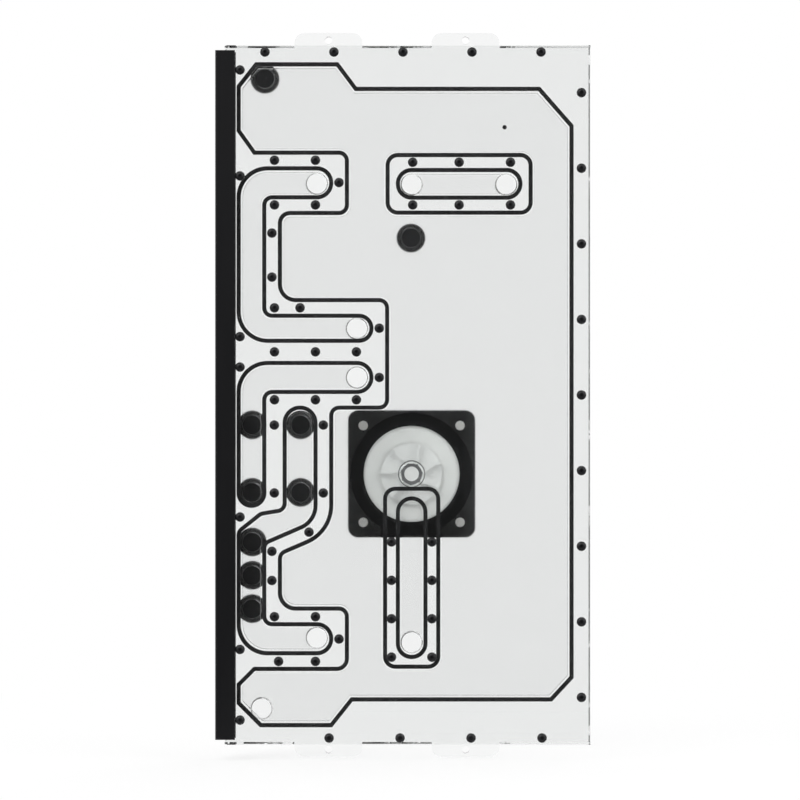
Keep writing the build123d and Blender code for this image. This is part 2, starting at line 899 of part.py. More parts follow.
with BuildPart() as impeller:
    with BuildSketch(Plane.XZ.offset(disc_back)):
        with Locations(pump_place):
            Circle(impeller_radius)
    extrude(amount=impeller_disc)
    with BuildSketch(Plane.XZ.offset(disc_back + impeller_disc)):
        with Locations(pump_place):
            with PolarLocations(0, blade_count):
                add(blade)
    extrude(amount=blade_height)
save(impeller, "impeller")

with BuildPart() as rotor_magnet:
    with BuildSketch(Plane.XZ.offset(disc_back)):
        with Locations(pump_place):
            Circle(magnet_radius)
            Circle(bush_radius + running, mode=Mode.SUBTRACT)
    extrude(amount=-magnet_length)
save(rotor_magnet, "rotor_magnet")

with BuildPart() as bearing_bush:
    with BuildSketch(Plane.XZ.offset(disc_back)):
        with Locations(pump_place):
            Circle(bush_radius)
            Circle(post_radius + running, mode=Mode.SUBTRACT)
    extrude(amount=-bush_length)
save(bearing_bush, "bearing_bush")
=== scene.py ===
# %% [markdown]
# # A water cooling distribution plate
#
# This lesson dresses a clear acrylic distribution plate for a computer's water cooling. The solid parts
# come from the frame, at their real places, in metres. Here they get their finishes, and the small parts
# whose detail is too fine for the solids, such as screws and plugs, get finer meshes in the same places.

# %% Load the frame
import json
from math import cos, pi, radians

import bmesh
import bpy
from mathutils import Matrix, Vector


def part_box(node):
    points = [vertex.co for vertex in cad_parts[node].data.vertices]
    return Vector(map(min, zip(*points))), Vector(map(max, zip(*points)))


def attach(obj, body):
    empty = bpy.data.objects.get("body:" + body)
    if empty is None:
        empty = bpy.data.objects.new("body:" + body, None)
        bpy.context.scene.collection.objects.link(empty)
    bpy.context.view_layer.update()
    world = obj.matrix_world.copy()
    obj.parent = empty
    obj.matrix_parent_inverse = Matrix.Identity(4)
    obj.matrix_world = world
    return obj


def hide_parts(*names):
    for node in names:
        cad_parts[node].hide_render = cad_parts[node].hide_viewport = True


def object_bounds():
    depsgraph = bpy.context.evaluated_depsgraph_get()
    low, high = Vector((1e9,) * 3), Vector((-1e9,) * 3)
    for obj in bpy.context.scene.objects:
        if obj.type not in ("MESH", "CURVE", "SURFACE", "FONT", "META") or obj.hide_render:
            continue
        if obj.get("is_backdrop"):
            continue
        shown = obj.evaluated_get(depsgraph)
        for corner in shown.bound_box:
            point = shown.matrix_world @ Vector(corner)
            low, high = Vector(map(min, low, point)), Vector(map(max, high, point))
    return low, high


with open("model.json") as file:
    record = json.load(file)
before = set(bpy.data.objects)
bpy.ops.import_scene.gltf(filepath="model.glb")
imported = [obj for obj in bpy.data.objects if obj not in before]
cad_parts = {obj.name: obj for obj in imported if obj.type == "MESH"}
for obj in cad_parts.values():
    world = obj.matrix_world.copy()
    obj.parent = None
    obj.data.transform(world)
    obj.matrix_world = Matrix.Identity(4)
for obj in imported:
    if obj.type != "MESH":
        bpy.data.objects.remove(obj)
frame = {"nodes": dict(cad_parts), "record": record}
nodes = frame["nodes"]
cad_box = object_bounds()
MM = 0.001
print("frame:", len(nodes), "nodes, highest corner", [round(v, 4) for v in cad_box[1]])

# %% [markdown]
# ## Where things are
#
# The new pieces have to sit exactly where the solids do. Their places could be typed in, but then they would
# be wrong as soon as the part changes, so every place is read from the frame. The front of the plate faces -Y,
# so the lowest Y of a box is its front.

# %% Boxes of the large parts
plate_low, plate_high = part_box("main_body")
cover_low, cover_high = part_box("front_cover")
can_low, can_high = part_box("rotor_can")
pump_centre = (can_low + can_high) / 2
print("pump centre", [round(v, 4) for v in pump_centre])

# %% [markdown]
# A node such as the cover screws holds many separate solids. This helper walks over the joined vertices, from
# neighbour to neighbour, and gives the box of each solid that it finds.

# %% Boxes of the separate solids
WELD = 0.001 * MM


def solids_of(name):
    """The lowest and highest corner of each separate solid in a node, from left to right."""
    mesh = bmesh.new()
    mesh.from_mesh(nodes[name].data)
    bmesh.ops.remove_doubles(mesh, verts=mesh.verts, dist=WELD)
    left, boxes = set(mesh.verts), []
    while left:
        to_visit, corners = [left.pop()], []
        while to_visit:
            vertex = to_visit.pop()
            corners.append(vertex.co.copy())
            near = {edge.other_vert(vertex) for edge in vertex.link_edges} & left
            left -= near
            to_visit += near
        low = Vector([min(corner[i] for corner in corners) for i in range(3)])
        high = Vector([max(corner[i] for corner in corners) for i in range(3)])
        boxes.append((low, high))
    mesh.free()
    return sorted(boxes, key=lambda box: (round(box[0].x, 4), round(box[0].z, 4)))


def centres(boxes, depth):
    """The middle of each box, at one depth."""
    return [Vector(((low.x + high.x) / 2, depth, (low.z + high.z) / 2)) for low, high in boxes]


cover_screw_boxes = solids_of("cover_screws")
print("cover screws:", len(cover_screw_boxes))

# %% [markdown]
# ## Shader sums
#
# A pattern is easiest to read as a formula. This class wraps the output of a shader node, so that a sum such as
# 0.3 + 0.1 * noise adds the Math nodes by itself. Any other node comes from the one method called node.


# %% A wrapper for sockets
class Wire:
    """The output of a shader node, which can be used in sums."""

    def __init__(self, tree, socket):
        self.tree, self.socket = tree, socket

    def node(self, kind, settings=None, inputs=None, output=0):
        """Adds a node, sets it up, feeds its inputs and gives one of its outputs."""
        made = self.tree.nodes.new(kind)
        for key, value in (settings or {}).items():
            setattr(made, key, value)
        for key, value in (inputs or {}).items():
            if isinstance(value, Wire):
                self.tree.links.new(value.socket, made.inputs[key])
            else:
                made.inputs[key].default_value = value
        return Wire(self.tree, made.outputs[output])

    def math(self, operation, *values):
        return self.node("ShaderNodeMath", {"operation": operation}, dict(enumerate(values)))

    def __add__(self, other):
        return self.math("ADD", self, other)

    def __radd__(self, other):
        return self.math("ADD", other, self)

    def __sub__(self, other):
        return self.math("SUBTRACT", self, other)

    def __rsub__(self, other):
        return self.math("SUBTRACT", other, self)

    def __mul__(self, other):
        return self.math("MULTIPLY", self, other)

    def __rmul__(self, other):
        return self.math("MULTIPLY", other, self)

    def __gt__(self, other):
        return self.math("GREATER_THAN", self, other)

    def __lt__(self, other):
        return self.math("LESS_THAN", self, other)

    def distance(self):
        """Absolute value."""
        return self.math("ABSOLUTE", self)

    def sine(self):
        return self.math("SINE", self)

    def root(self):
        return self.math("SQRT", self)

    def at_least(self, other):
        """The larger of two values."""
        return self.math("MAXIMUM", self, other)

    def axes(self):
        """The X, Y and Z of a vector."""
        return [self.node("ShaderNodeSeparateXYZ", None, {0: self}, i) for i in range(3)]

    def noise(self, scale, detail=3.0, stretch=(1, 1, 1)):
        """Soft noise at a scale in waves a metre, stretched along the axes."""
        moved = self.node("ShaderNodeMapping", None, {"Vector": self, "Scale": stretch})
        return self.node("ShaderNodeTexNoise", None, {"Vector": moved, "Scale": scale, "Detail": detail})

    def blend(self, first, second):
        """A colour between two colours, by this value."""
        return self.node("ShaderNodeMix", {"data_type": "RGBA"}, {0: self, 6: first, 7: second}, 2)

    def bump(self, strength, height):
        """A normal from this height, in metres."""
        return self.node("ShaderNodeBump", None, {"Strength": strength, "Distance": height, "Height": self})


print("wrapper methods:", len([name for name in vars(Wire) if callable(getattr(Wire, name))]))

# %% [markdown]
# A finish is a Principled shader. What is even all over is set on the shader's own sockets, and what changes
# over the surface comes from a pattern: a function from the place on the object to the wires of some sockets.


# %% Make a finish and put it on
def material(name, even, pattern):
    """A Principled material: even values go on the shader itself, and pattern gives what varies."""
    made = bpy.data.materials.new(name)
    made.use_nodes = True
    tree = made.node_tree
    shader = tree.nodes["Principled BSDF"]
    for key, value in even.items():
        shader.inputs[key].default_value = value
    place = Wire(tree, tree.nodes.new("ShaderNodeTexCoord").outputs["Object"])
    for key, wire in pattern(place).items():
        tree.links.new(wire.socket, shader.inputs[key])
    return made


def dress(name, finish):
    """Gives a CAD node its finish."""
    data = nodes[name].data
    data.materials.clear()
    data.materials.append(finish)


def pump_radius(place):
    """How far a place is from the pump's axis, in metres."""
    x, y, z = place.axes()
    across, up = x - pump_centre.x, z - pump_centre.z
    return (across * across + up * up).root()


print("materials so far:", len(bpy.data.materials))

# %% [markdown]
# ## Clear acrylic
#
# The block and the cover are cast acrylic, which bends light by 1.49. Its outside is polished, but a milling
# cutter leaves the pockets satin, with fine arcs. Separate materials for each face would have to be picked by
# hand, so the finish is one clear shader whose roughness and bump rise on the pocket surfaces, which lie inside
# the block's outline and behind its front face. The bores get the ridges of a pipe thread in the same way. The
# pocket's floor in front of the pump is polished, so that the pump shows.

# %% Acrylic pattern
PIPE_THREAD_PITCH = 1.337 * MM
SKIN = 0.4 * MM
POCKET_FLOOR = -13.0 * MM
PUMP_WINDOW = 36 * MM
CLEAR = (0.985, 0.99, 0.988, 1)
SATIN = (0.84, 0.845, 0.845, 1)


def milled_pattern(place):
    """Satin in the milled pockets, ridged in the bores, and polished elsewhere."""
    x, y, z = place.axes()
    middle_x = (cover_low.x + cover_high.x) / 2
    half_x = (cover_high.x - cover_low.x) / 2 - SKIN
    inside = ((x - middle_x).distance() < half_x) * (z.distance() < cover_high.z - SKIN)
    away_from_pump = 1 - (pump_radius(place) < PUMP_WINDOW)
    milled = inside * (y > cover_high.y + SKIN) * (y < POCKET_FLOOR + SKIN) * away_from_pump
    bored = inside * (y > POCKET_FLOOR + SKIN) * (y < -SKIN) * away_from_pump
    thread = (y * (2 * pi / PIPE_THREAD_PITCH)).sine()
    arcs = place.node(
        "ShaderNodeTexWave",
        {"wave_type": "RINGS", "rings_direction": "Y"},
        {"Vector": place, "Scale": 60.0, "Distortion": 3.0, "Detail": 2.0},
        1,
    )
    haze = place.noise(45, 4.0)
    return {
        "Base Color": (milled * (0.7 + 0.6 * haze)).blend(CLEAR, SATIN),
        "Roughness": 0.012 + milled * (0.16 + 0.1 * haze),
        "Normal": (milled * arcs * 0.05 + bored * thread * 0.5).bump(0.4, 0.2 * MM),
    }


def polished_pattern(place):
    return {"Roughness": 0.01 + 0.015 * place.noise(14, 2.0)}


print("milled pockets reach from", round(cover_high.y, 4), "to", POCKET_FLOOR)

# %% [markdown]
# Light bends at each face of the acrylic, and a lamp is hardly ever found again through many bends. What stands
# behind the block would be far too dark. So the rays that look for lamps, and those that a matt surface throws
# back, pass straight through with a slight tint, and only what is seen or mirrored is bent.

# %% Acrylic
ACRYLIC_INDEX = 1.49
THROUGH = (0.96, 0.965, 0.963, 1)
even_acrylic = {"Base Color": CLEAR, "Transmission Weight": 1.0, "IOR": ACRYLIC_INDEX}


def acrylic(name, pattern):
    """Acrylic that lets the light of lamps through to what is behind it."""
    made = material(name, even_acrylic, pattern)
    tree = made.node_tree
    path = tree.nodes.new("ShaderNodeLightPath")
    straight = Wire(tree, path.outputs["Is Shadow Ray"]).at_least(Wire(tree, path.outputs["Is Diffuse Ray"]))
    bent = Wire(tree, tree.nodes["Principled BSDF"].outputs[0])
    unbent = straight.node("ShaderNodeBsdfTransparent", None, {"Color": THROUGH})
    mixed = straight.node("ShaderNodeMixShader", None, {0: straight, 1: bent, 2: unbent})
    tree.links.new(mixed.socket, tree.nodes["Material Output"].inputs["Surface"])
    return made


milled_acrylic = acrylic("milled_acrylic", milled_pattern)
polished_acrylic = acrylic("polished_acrylic", polished_pattern)
print("acrylic:", milled_acrylic.name, polished_acrylic.name)

# %% [markdown]
# ## Rubber, metal and moulded finishes
#
# Each of the other finishes is a base colour with a little life in it. A photograph could be wrapped on, but a
# formula stays sharp at any distance and needs no map. These functions give the patterns: mottling on rubber
# and carbon, long fine lines on the drawn light bar, turning marks on metal and ridges on a screw. The marks
# are bump and roughness, so they only show where the light catches them.


# %% Patterns for grain and fine lines
GRAIN_SCALE = 900.0
CLOUD_SIZE = 20


def mottled(dark, pale, rough, spread, scale=GRAIN_SCALE, depth=0.05 * MM):
    """A grainy surface: two near colours, a roughness with some spread and a fine bump."""

    def pattern(place):
        grain = place.noise(scale, 4.0)
        cloud = place.noise(scale / CLOUD_SIZE, 2.0)
        return {
            "Base Color": cloud.blend(dark, pale),
            "Roughness": rough + (grain - 0.5) * spread,
            "Normal": grain.bump(0.35, depth),
        }

    return pattern


def drawn(dark, pale, rough):
    """An extruded surface, with fine lines along Z."""

    def pattern(place):
        lines = place.noise(1400, 3.0, (1, 1, 0.01))
        cloud = place.noise(18, 2.0)
        return {
            "Base Color": cloud.blend(dark, pale),
            "Roughness": rough + lines * 0.14,
            "Normal": lines.bump(0.18, 0.03 * MM),
        }

    return pattern


print("grain of", GRAIN_SCALE, "waves a metre, in clouds of", GRAIN_SCALE / CLOUD_SIZE)

# %% [markdown]
# Turning leaves fine rings about the pump's axis, and a sine of the distance to the axis draws them. A sine
# along Y draws the ridges of a screw in the same way.

# %% Patterns for turned and threaded surfaces
TOOL_MARK_PITCH = 0.35 * MM
BUTTON_THREAD_PITCH = 0.5 * MM


def turned(dark, pale, rough):
    """A surface turned or pressed about the pump's axis, with fine rings."""

    def pattern(place):
        rings = (pump_radius(place) * (2 * pi / TOOL_MARK_PITCH)).sine()
        cloud = place.noise(60, 3.0)
        return {
            "Base Color": cloud.blend(dark, pale),
            "Roughness": rough + cloud * 0.12,
            "Normal": rings.bump(0.12, 0.02 * MM),
        }

    return pattern


def threaded(dark, pale, rough, start, pitch):
    """A satin surface with ridges across Y behind a start, as on a screw."""

    def pattern(place):
        y = place.axes()[1]
        ridges = (y * (2 * pi / pitch)).sine() * (y > start)
        wear = place.noise(350, 3.0)
        return {
            "Base Color": wear.blend(dark, pale),
            "Roughness": rough + wear * 0.15,
            "Normal": (ridges * 0.5 + wear * 0.06).bump(0.6, 0.15 * MM),
        }

    return pattern


print("tool marks every", TOOL_MARK_PITCH / MM, "mm")

# %% [markdown]
# The impeller is white. The grey ring round its middle, seen through the pump's inlet, is painted shade: it
# stands for the shade at the rim of the inlet. It is only a colour, picked by how far a place is from the axis.

# %% Pattern of the impeller
# Radii and grey of the ring of painted shade, which stands for the shade at the inlet's rim.
INLET_SHADE_INNER = 4.3 * MM
INLET_SHADE_OUTER = 8.0 * MM
INLET_SHADE_GREY = (0.17, 0.17, 0.175, 1)


def with_inlet_shade(place):
    """White plastic with a grey ring of painted shade round the middle, inside the blades, for the shade at the
    inlet's rim.
    """
    radius = pump_radius(place)
    ring = (radius > INLET_SHADE_INNER) * (radius < INLET_SHADE_OUTER)
    grain = place.noise(1400, 4.0)
    white = place.noise(70, 2.0).blend((0.86, 0.86, 0.86, 1), (0.94, 0.94, 0.93, 1))
    return {
        # The grey ring is painted shade of the inlet's rim, not a colour of the impeller.
        "Base Color": ring.blend(white, INLET_SHADE_GREY),
        "Roughness": 0.42 + (grain - 0.5) * 0.14 + 0.1 * ring,
        "Normal": grain.bump(0.35, 0.03 * MM),
    }


print("grey ring from", INLET_SHADE_INNER / MM, "to", INLET_SHADE_OUTER / MM, "mm")

# %% [markdown]
# Now the finishes themselves. The record names a finish for every node, so a dictionary under the same names
# lets one loop dress them all. Black parts are kept very dark and dull, because they are seen through acrylic,
# which adds its own reflections.

# %% Black finishes
finishes = {"clear_acrylic": milled_acrylic}
for name, shine, pattern in (
    ("seal_rubber", 0.15, mottled((0.008, 0.008, 0.009, 1), (0.02, 0.02, 0.021, 1), 0.62, 0.2)),
    (
        "black_screw",
        0.3,
        threaded(
            (0.006, 0.006, 0.007, 1),
            (0.016, 0.016, 0.018, 1),
            0.3,
            cover_low.y + 0.3 * MM,
            BUTTON_THREAD_PITCH,
        ),
    ),
    ("black_anodised", 0.3, drawn((0.002, 0.002, 0.003, 1), (0.005, 0.005, 0.006, 1), 0.34)),
    (
        "black_plated",
        0.35,
        threaded((0.006, 0.006, 0.007, 1), (0.014, 0.014, 0.016, 1), 0.3, plate_high.y, PIPE_THREAD_PITCH),
    ),
    (
        "pump_plastic",
        0.5,
        mottled((0.006, 0.006, 0.007, 1), (0.014, 0.014, 0.016, 1), 0.46, 0.2, 1600.0, 0.04 * MM),
    ),
):
    finishes[name] = material(name, {"Specular IOR Level": shine}, pattern)
print("black finishes:", len(finishes) - 1)

# %% [markdown]
# The pale parts sit behind acrylic or inside the bar. They are near white but never quite, and the hard ones
# have a thin coat. The inserts are nickel plated, and dull enough at the end to catch light from the side.

# %% Pale and metal finishes
for name, even, pattern in (
    (
        "board_white",
        {"Coat Weight": 0.3},
        mottled((0.7, 0.71, 0.69, 1), (0.8, 0.81, 0.79, 1), 0.4, 0.1, 400.0, 0.02 * MM),
    ),
    (
        "led_white",
        {},
        mottled((0.82, 0.82, 0.78, 1), (0.9, 0.9, 0.86, 1), 0.35, 0.1, 1500.0, 0.01 * MM),
    ),
    (
        "header_plastic",
        {},
        mottled((0.66, 0.65, 0.58, 1), (0.74, 0.73, 0.67, 1), 0.5, 0.12, 1200.0, 0.02 * MM),
    ),
    ("white_plastic", {"Coat Weight": 0.2}, turned((0.9, 0.9, 0.89, 1), (0.95, 0.95, 0.94, 1), 0.35)),
    ("rotor_plastic", {}, with_inlet_shade),
    (
        "ferrite",
        {"Metallic": 0.3},
        mottled((0.06, 0.06, 0.064, 1), (0.1, 0.1, 0.105, 1), 0.6, 0.2, 700.0, 0.05 * MM),
    ),
    (
        "ceramic",
        {"Coat Weight": 0.5},
        mottled((0.84, 0.84, 0.82, 1), (0.9, 0.9, 0.88, 1), 0.18, 0.06, 800.0, 0.005 * MM),
    ),
    (
        "carbon",
        {},
        mottled((0.035, 0.035, 0.038, 1), (0.06, 0.06, 0.065, 1), 0.5, 0.16, depth=0.02 * MM),
    ),
    ("nickel", {"Metallic": 1.0}, turned((0.8, 0.79, 0.77, 1), (0.9, 0.89, 0.87, 1), 0.48)),
):
    finishes[name] = material(name, even, pattern)
print("finishes:", len(finishes))

# %% [markdown]
# Every node gets the finish that the record names for it. The nodes that finer pieces will stand for are
# dressed too, which does no harm and keeps the loop plain.

# %% Dress the nodes
slot_of = {row["node"]: row["material_slot"] for row in frame["record"]["subparts"]}
for name, slot in slot_of.items():
    dress(name, finishes[slot])
print("nodes dressed:", len(slot_of))

# %% [markdown]
# ## Small turned parts
#
# Screws, plugs and inserts are all round, so each is one outline turned about Y. An outline is a list of
# (radius, depth) points. A hexagon socket could be cut with a boolean, but it comes cleaner from the same
# turning: its points are pulled from the circle onto the hexagon inside it.

# %% Turn a part
DOUBLES = 0.002 * MM
ON_AXIS = 0.01 * MM


def close_shell(mesh):
    """Merges the doubles along seams and poles, and turns the faces outwards."""
    bmesh.ops.remove_doubles(mesh, verts=mesh.verts, dist=DOUBLES)
    bmesh.ops.recalc_face_normals(mesh, faces=mesh.faces)


def spin_about_y(mesh, geometry, steps):
    """Turns a section once round the Y axis."""
    bmesh.ops.spin(
        mesh,
        geom=geometry,
        cent=(0, 0, 0),
        axis=(0, 1, 0),
        angle=2 * pi,
        steps=steps,
        use_merge=True,
    )


def turned_part(outline, sides, socket=0.0):
    """A closed mesh turned about Y. Points nearer the axis than the socket radius form a hexagon."""
    mesh = bmesh.new()
    points = [mesh.verts.new((radius, depth, 0)) for radius, depth in outline]
    lines = [mesh.edges.new(pair) for pair in zip(points, points[1:])]
    spin_about_y(mesh, points + lines, sides)
    close_shell(mesh)
    for vertex in mesh.verts:
        reach = Vector((vertex.co.x, vertex.co.z))
        if ON_AXIS < reach.length < socket:
            turn = reach.angle_signed(Vector((1, 0))) % radians(60)
            pull = cos(radians(30)) / cos(turn - radians(30))
            vertex.co.x *= pull
            vertex.co.z *= pull
    return mesh


print("a hexagon's flats are", round(cos(radians(30)), 3), "of its corners' radius")

# %% [markdown]
# One finished part is then copied to each place that the frame gave, and the whole set becomes one object. An
# edge sharper than a given angle stays sharp, and the rest is shaded smooth.


# %% Copy a part and hand it over
def copies(part, places):
    """One mesh that holds the part at each place."""
    whole = bmesh.new()
    single = bpy.data.meshes.new("single")
    part.to_mesh(single)
    part.free()
    for place in places:
        start = len(whole.verts)
        whole.from_mesh(single)
        whole.verts.ensure_lookup_table()
        bmesh.ops.translate(whole, verts=whole.verts[start:], vec=place)
    bpy.data.meshes.remove(single)
    return whole


def finished(name, mesh, node, finish=None, smooth=35):
    """Makes an object of the mesh, in place of a node, smooth but for edges sharper than an angle."""
    for face in mesh.faces:
        face.smooth = smooth > 0
    for edge in mesh.edges:
        if len(edge.link_faces) == 2 and edge.calc_face_angle() > radians(smooth):
            edge.smooth = False
    data = bpy.data.meshes.new(name)
    mesh.to_mesh(data)
    mesh.free()
    data.materials.append(finish or finishes[slot_of[node]])
    piece = bpy.data.objects.new(name, data)
    bpy.context.scene.collection.objects.link(piece)
    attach(piece, "plate")
    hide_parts(node)
    triangles = sum(len(polygon.vertices) - 2 for polygon in data.polygons)
    print(name, triangles, "triangles")
    return piece


# %% [markdown]
# ## The cover
#
# Two clear sheets that are screwed together still hold a film of air between them, so that each face keeps its
# own reflection. The solid cover touches the block, and two faces in one place would show black. So the cover
# is made again, as a sheet filled between its outline and its screw holes, with its rear face a hair in front
# of the block.

# %% Outline of the cover
AIR_FILM = 0.02 * MM
SCREW_HOLE = 1.6 * MM
cover_back = cover_high.y - AIR_FILM
cover_mesh = bmesh.new()
corners = [
    cover_mesh.verts.new((x, cover_back, z))
    for x, z in (
        (cover_low.x, cover_low.z),
        (cover_high.x, cover_low.z),
        (cover_high.x, cover_high.z),
        (cover_low.x, cover_high.z),
    )
]
for pair in zip(corners, corners[1:] + corners[:1]):
    cover_mesh.edges.new(pair)
upright = Matrix.Rotation(pi / 2, 4, "X")
for middle in centres(cover_screw_boxes, cover_back):
    bmesh.ops.create_circle(
        cover_mesh, segments=24, radius=SCREW_HOLE, matrix=Matrix.Translation(middle) @ upright
    )
bmesh.ops.triangle_fill(
    cover_mesh, use_beauty=True, use_dissolve=False, edges=cover_mesh.edges[:], normal=(0, 1, 0)
)
print("faces of the flat cover:", len(cover_mesh.faces))

# %% [markdown]
# The sheet is then drawn out to the front in two steps. The second step is short and narrows the outer edges,
# which gives the cover its broken edge and leaves the holes straight.

# %% Thickness of the cover
COVER_BREAK = 0.6 * MM
NEAR = 0.01 * MM


def draw_out(depth, narrowing):
    """Extrudes the sheet's front face by a depth and moves its outer edges in."""
    front = min(vertex.co.y for vertex in cover_mesh.verts)
    faces = [f for f in cover_mesh.faces if all(v.co.y < front + WELD for v in f.verts)]
    made = bmesh.ops.extrude_face_region(cover_mesh, geom=faces)["geom"]
    moved = [item for item in made if isinstance(item, bmesh.types.BMVert)]
    bmesh.ops.translate(cover_mesh, verts=moved, vec=(0, depth, 0))
    for vertex in moved:
        if abs(vertex.co.x - cover_low.x) < NEAR:
            vertex.co.x += narrowing
        if abs(vertex.co.x - cover_high.x) < NEAR:
            vertex.co.x -= narrowing
        if cover_high.z - abs(vertex.co.z) < NEAR:
            vertex.co.z *= 1 - narrowing / abs(vertex.co.z)


draw_out(cover_low.y + COVER_BREAK - cover_back, 0)
draw_out(-COVER_BREAK, COVER_BREAK)
bmesh.ops.recalc_face_normals(cover_mesh, faces=cover_mesh.faces)
print("cover holds", round(cover_mesh.calc_volume() * 1e6, 1), "cubic centimetres")
finished("cover_sheet", cover_mesh, "front_cover", polished_acrylic, smooth=0)

# %% [markdown]
# ## Cover screws
#
# Sixty-eight button head screws clamp the cover. The head is a low dome with a hexagon socket and a thin
# flat where it meets the cover. Turning one outline gives dome, socket and shank together, and its sizes come
# from the box of the first screw in the frame.

# %% Cover screws
screw_low, screw_high = cover_screw_boxes[0]
head_radius = (screw_high.x - screw_low.x) / 2
head_height = cover_low.y - screw_low.y
screw_length = screw_high.y - screw_low.y
shank_radius = 1.5 * MM
tip_break = 0.4 * MM
key_radius = 0.98 * MM
key_depth = 1.05 * MM
button = turned_part(
    [
        (0, key_depth),
        (key_radius - 0.18 * MM, key_depth),
        (key_radius - 0.03 * MM, key_depth - 0.15 * MM),
        (key_radius, 0.16 * MM),
        (key_radius + 0.1 * MM, 0.02 * MM),
        (0.45 * head_radius, 0.0),
        (0.62 * head_radius, 0.1 * head_height),
        (0.8 * head_radius, 0.3 * head_height),
        (0.93 * head_radius, 0.58 * head_height),
        (0.995 * head_radius, 0.86 * head_height),
        (head_radius, head_height),
        (shank_radius, head_height),
        (shank_radius, screw_length - 0.5 * MM),
        (shank_radius - tip_break, screw_length),
        (0, screw_length),
    ],
    24,
    key_radius + 0.11 * MM,
)
print("head", round(head_radius / MM, 2), "mm radius, screw", round(screw_length / MM, 2), "mm long")
finished("cover_screw_set", copies(button, centres(cover_screw_boxes, screw_low.y)), "cover_screws")

# %% [markdown]
# ## Light bar and pump screws
#
# The light bar is held from the rear by small button heads, and the pump by four socket cap screws, whose
# straight heads have a deeper socket. Both sets face backwards and differ only in sizes, so one function makes
# them, from an outline that runs from the rear towards the front.


# %% Screws that face backwards
def backward_screw(boxes, head, shank, key, key_depth, rounding):
    """A turned screw whose head is at the rear, as wide and long as the first box."""
    low, high = boxes[0]
    radius = (high.x - low.x) / 2
    length = high.y - low.y
    under = 0.08 * MM
    outline = [
        (0, -key_depth),
        (0.85 * key, -key_depth),
        (key, 0.88 * -key_depth),
        (key, -0.12 * MM),
        (1.08 * key, 0),
        (radius - rounding, 0),
        (radius - 0.3 * rounding, -0.25 * rounding),
        (radius, -rounding),
        (radius, under - head),
        (radius - under, -head),
        (shank, -head),
        (shank, tip_break - length),
        (shank - tip_break, -length),
        (0, -length),
    ]
    return turned_part(outline, 36, 1.09 * key)


print("tips of the screws are broken by", tip_break / MM, "mm")

# %% [markdown]
# Both sets are then made from their own boxes and placed by them, so only the sizes of head, shank and key are
# given here. They are those of common screws of that size.


# %% Bar screws and pump screws
def screw_set(name, node, **sizes):
    """Makes all the screws of a node, with their heads at the rear of its boxes."""
    boxes = solids_of(node)
    finished(name, copies(backward_screw(boxes, **sizes), centres(boxes, boxes[0][1].y)), node)


screw_set(
    "light_bar_screw_set",
    "light_bar_screws",
    head=1.6 * MM,
    shank=1.2 * MM,
    key=0.8 * MM,
    key_depth=0.8 * MM,
    rounding=0.5 * MM,
)
screw_set(
    "pump_screw_set",
    "pump_screws",
    head=4.0 * MM,
    shank=1.95 * MM,
    key=1.7 * MM,
    key_depth=2.2 * MM,
    rounding=0.35 * MM,
)

# %% [markdown]
# ## Threaded inserts
#
# A thread cut in acrylic would soon crack, so each pump screw runs into a metal insert. The insert is blind,
# which keeps the water in, and its closed end shows through the block as a pale dot. It is a turned part with
# a waist between two bands, and every second column of the bands is pulled in to make the knurl that holds it.

# %% Turn the insert
KNURLS = 40
insert_boxes = solids_of("pump_inserts")
insert_low, insert_high = insert_boxes[0]
insert_length = insert_high.y - insert_low.y
insert_floor = 0.8 * MM
insert_bore = 2.0 * MM
insert_break = 0.35 * MM
hole_sides = 12
band = (insert_high.x - insert_low.x) / 2 * cos(pi / hole_sides) - AIR_FILM
waist = band - 0.4 * MM
insert = turned_part(
    [
        (0, 0),
        (waist, 0),
        (band, insert_break),
        (band, 0.4 * insert_length),
        (waist, 0.44 * insert_length),
        (waist, 0.56 * insert_length),
        (band, 0.6 * insert_length),
        (band, insert_length - insert_break),
        (waist, insert_length),
        (insert_bore, insert_length),
        (insert_bore, insert_floor),
        (0, insert_floor),
    ],
    KNURLS,
)
print("insert", round(band / MM, 2), "mm radius,", round(insert_length / MM, 2), "mm long")

# %% [markdown]
# The columns of a turned part are its vertices at one angle. Their number comes from the angle, and the odd
# ones on the two bands move towards the axis by the depth of the knurl.

# %% Knurl and place the inserts
KNURL_DEPTH = 0.22 * MM
for vertex in insert.verts:
    reach = Vector((vertex.co.x, vertex.co.z))
    column = round(reach.angle_signed(Vector((1, 0)), 0.0) * KNURLS / (2 * pi))
    if reach.length > band - 0.05 * MM and column % 2:
        vertex.co.x *= 1 - KNURL_DEPTH / band
        vertex.co.z *= 1 - KNURL_DEPTH / band
finished("insert_set", copies(insert, centres(insert_boxes, insert_low.y)), "pump_inserts", smooth=20)

# %% [markdown]
# ## Port plugs and their rings
#
# A plug has a low round flange with a hexagon socket at the rear and a quarter inch pipe thread towards the
# front. A real thread winds, but rings at the same pitch can't be told from it through acrylic and stay closed
# with no effort, so the thread is added to the outline ridge by ridge.

